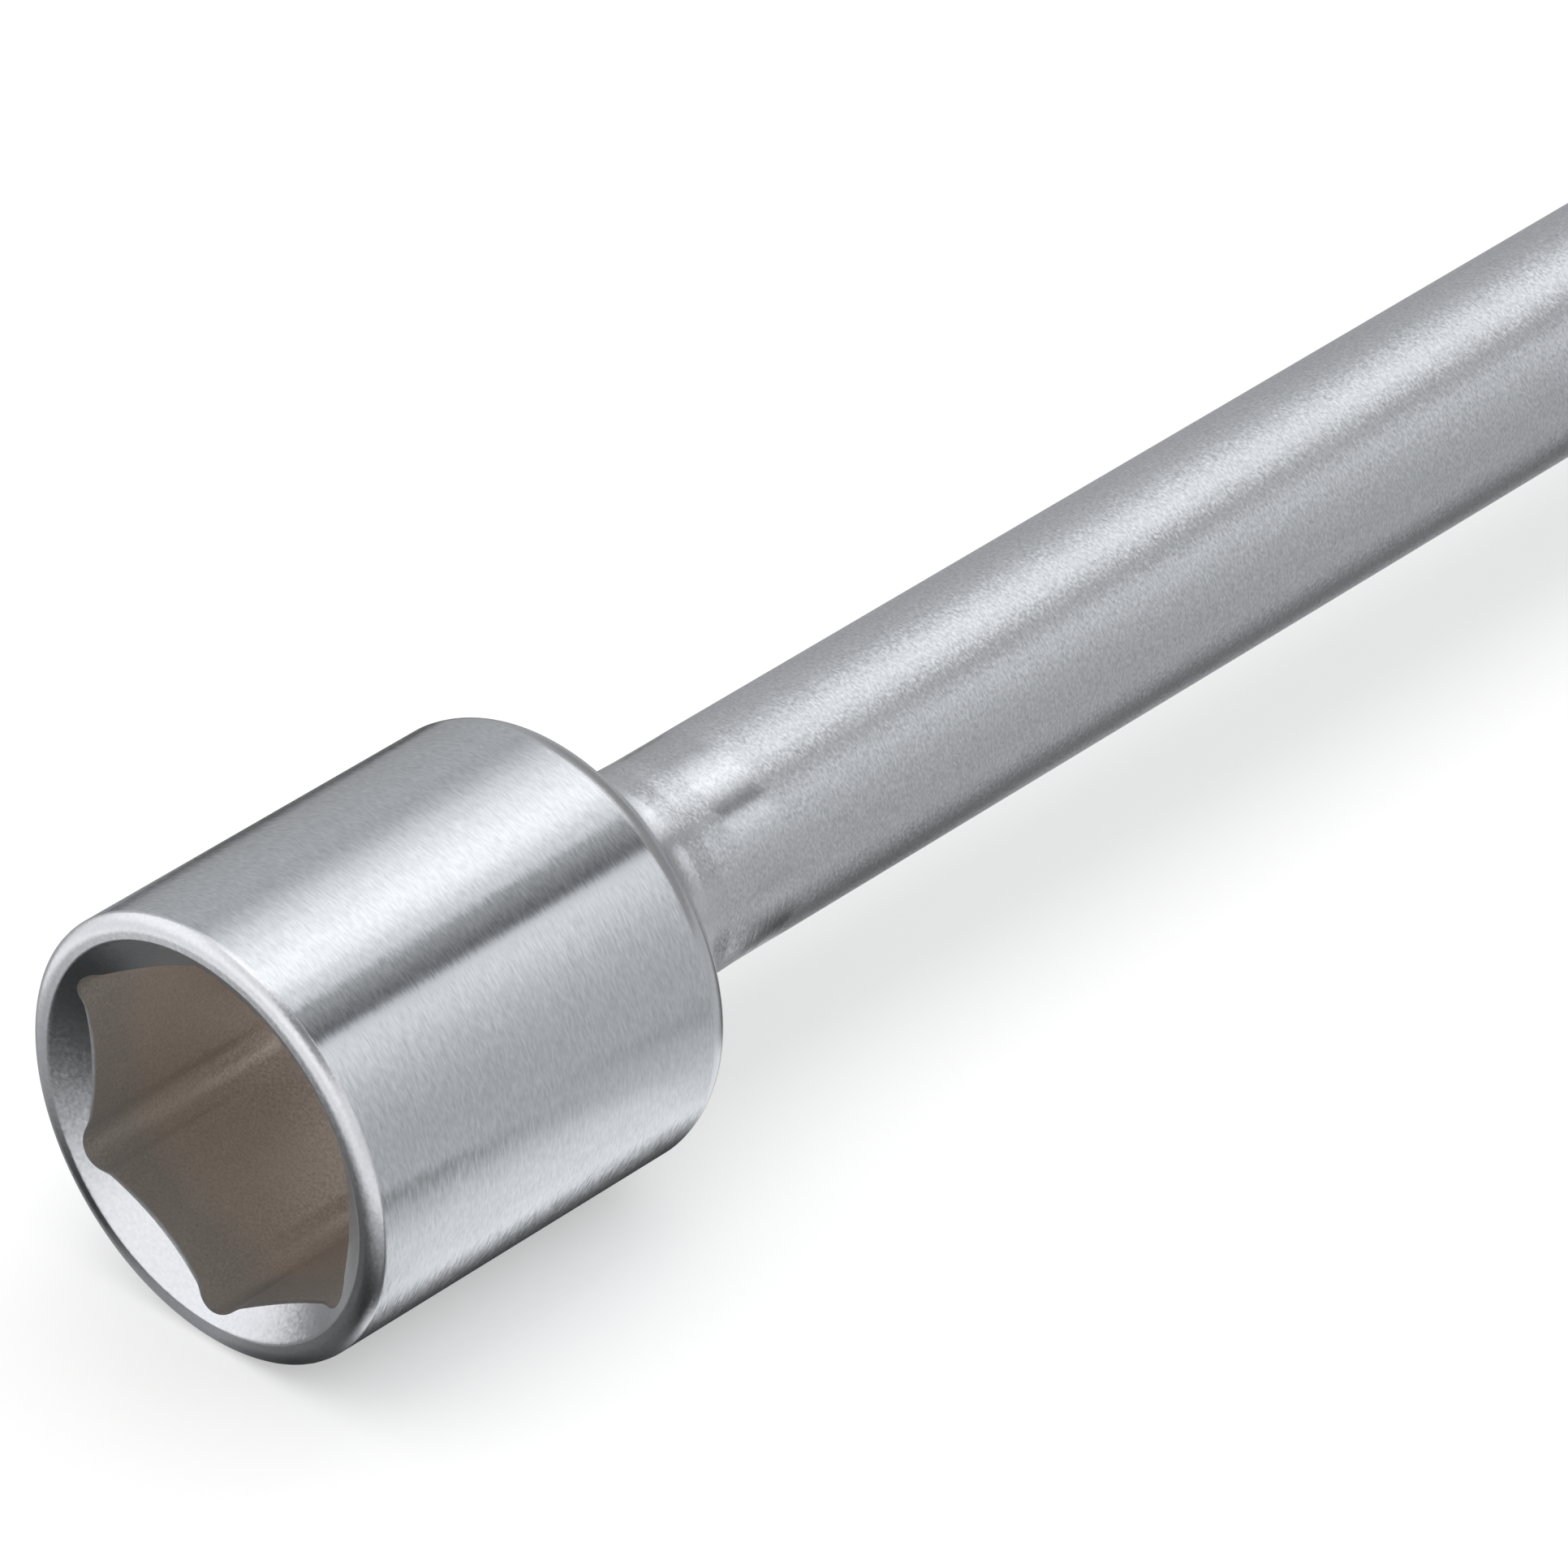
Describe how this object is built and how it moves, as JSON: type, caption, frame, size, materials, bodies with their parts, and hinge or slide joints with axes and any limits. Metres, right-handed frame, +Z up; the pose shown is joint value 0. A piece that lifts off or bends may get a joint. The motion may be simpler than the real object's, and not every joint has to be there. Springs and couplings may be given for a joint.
{
  "type": "t-handle wrench",
  "caption": "T-handle socket wrench: a hexagon cup on a round shank, with a sliding cross bar in a square head.",
  "frame": {"origin": "middle of the bottom of the wrench as it lies on its socket and the flat of its head", "axes": "+Y along the shank from the socket's mouth to the head, +X along the sliding bar, +Z up"},
  "size_m": [0.26, 0.3, 0.026],
  "materials": {
    "socket_chrome": "satin, brushed round the outside",
    "shank_chrome": "satin, fine blasted",
    "head_chrome": "satin, fine blasted",
    "bar_chrome": "satin, ground",
    "knob_chrome": "satin, turned",
    "pin_steel": "rolled spring steel",
    "screw_steel": "black oxide",
    "spring_steel": "drawn wire",
    "ball_steel": "polished",
    "ring_rubber": "matt"
  },
  "bodies": {
    "wrench": {"socket": "socket_chrome", "shank": "shank_chrome", "t_head": "head_chrome", "head_pin": "pin_steel", "detent_screw": "screw_steel", "detent_spring": "spring_steel"},
    "detent_ball": {"detent_ball": "ball_steel"},
    "bar": {"sliding_bar": "bar_chrome", "knob_left": "knob_chrome", "knob_right": "knob_chrome", "knob_pin_left": "pin_steel", "knob_pin_right": "pin_steel", "buffer_ring_left": "ring_rubber", "buffer_ring_right": "ring_rubber"}
  },
  "joints": [
    {"name": "bar_slide", "type": "slide", "parent": "wrench", "child": "bar", "axis": [1, 0, 0], "range_m": [-0.0965, 0.0965]},
    {"name": "ball_press", "type": "slide", "parent": "wrench", "child": "detent_ball", "axis": [0, 1, 0], "range_m": [0, 0.0008], "stiffness_N_per_m": 2000, "springref_m": -0.001, "deforming": ["detent_spring"]}
  ]
}
